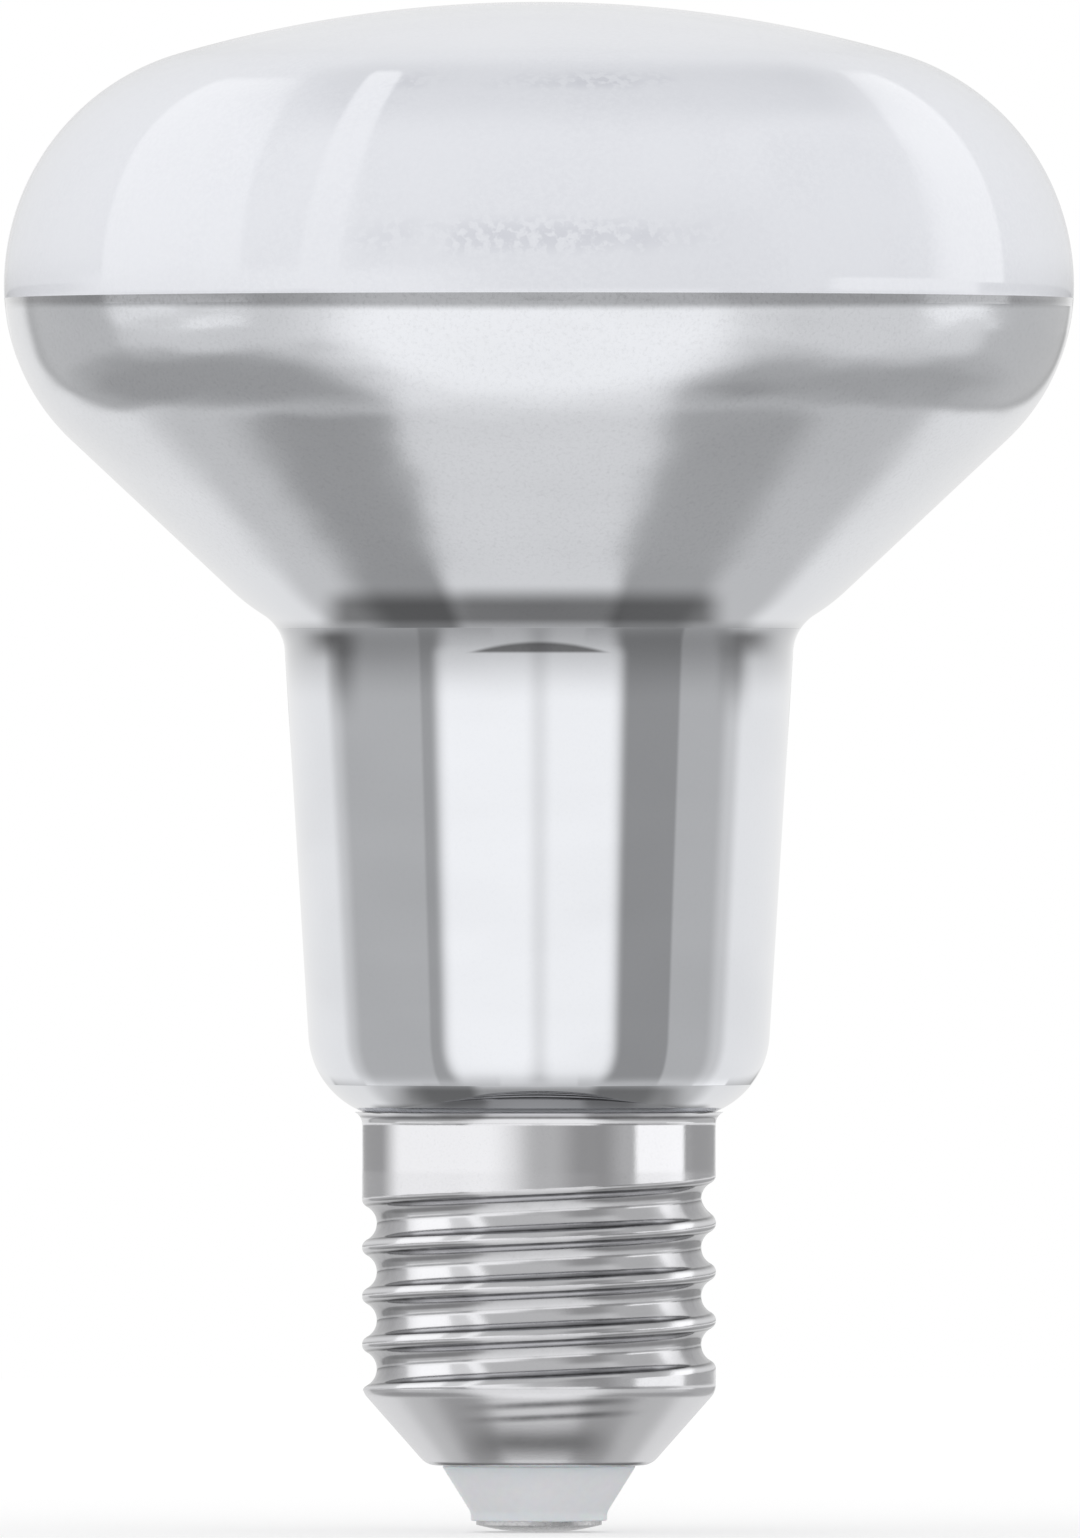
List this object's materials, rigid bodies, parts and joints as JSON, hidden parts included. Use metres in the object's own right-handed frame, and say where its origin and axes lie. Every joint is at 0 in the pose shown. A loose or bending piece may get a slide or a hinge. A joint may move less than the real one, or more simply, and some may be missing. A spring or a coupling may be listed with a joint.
{
  "type": "reflector bulb",
  "caption": "Reflector lamp with a mirrored glass cone, a frosted domed front, a glass neck and a rolled screw cap with a centre contact.",
  "frame": {"origin": "centre of the centre contact's outer face, on the lamp's axis", "axes": "+Z along the lamp's axis from the cap to the frosted dome; the front seen in the picture faces -Y"},
  "size_m": [0.08, 0.08, 0.1144],
  "materials": {
    "mirrored_glass": "aluminium coat behind clear glass, below the equator",
    "frosted_glass": "white frosted inside, glossy outside, above the equator",
    "cement": "dry matt basing cement",
    "shell_metal": "satin nickel-plated rolled sheet",
    "white_insulator": "translucent white moulding, slightly glossy",
    "contact_metal": "dull nickel-plated pressing",
    "lead_wire": "bare copper-clad wire"
  },
  "bodies": {
    "root": {"glass_bulb": "mirrored_glass", "basing_cement": "cement", "screw_shell": "shell_metal", "insulator": "white_insulator", "centre_contact": "contact_metal", "centre_lead": "lead_wire", "side_lead": "lead_wire"}
  },
  "joints": []
}
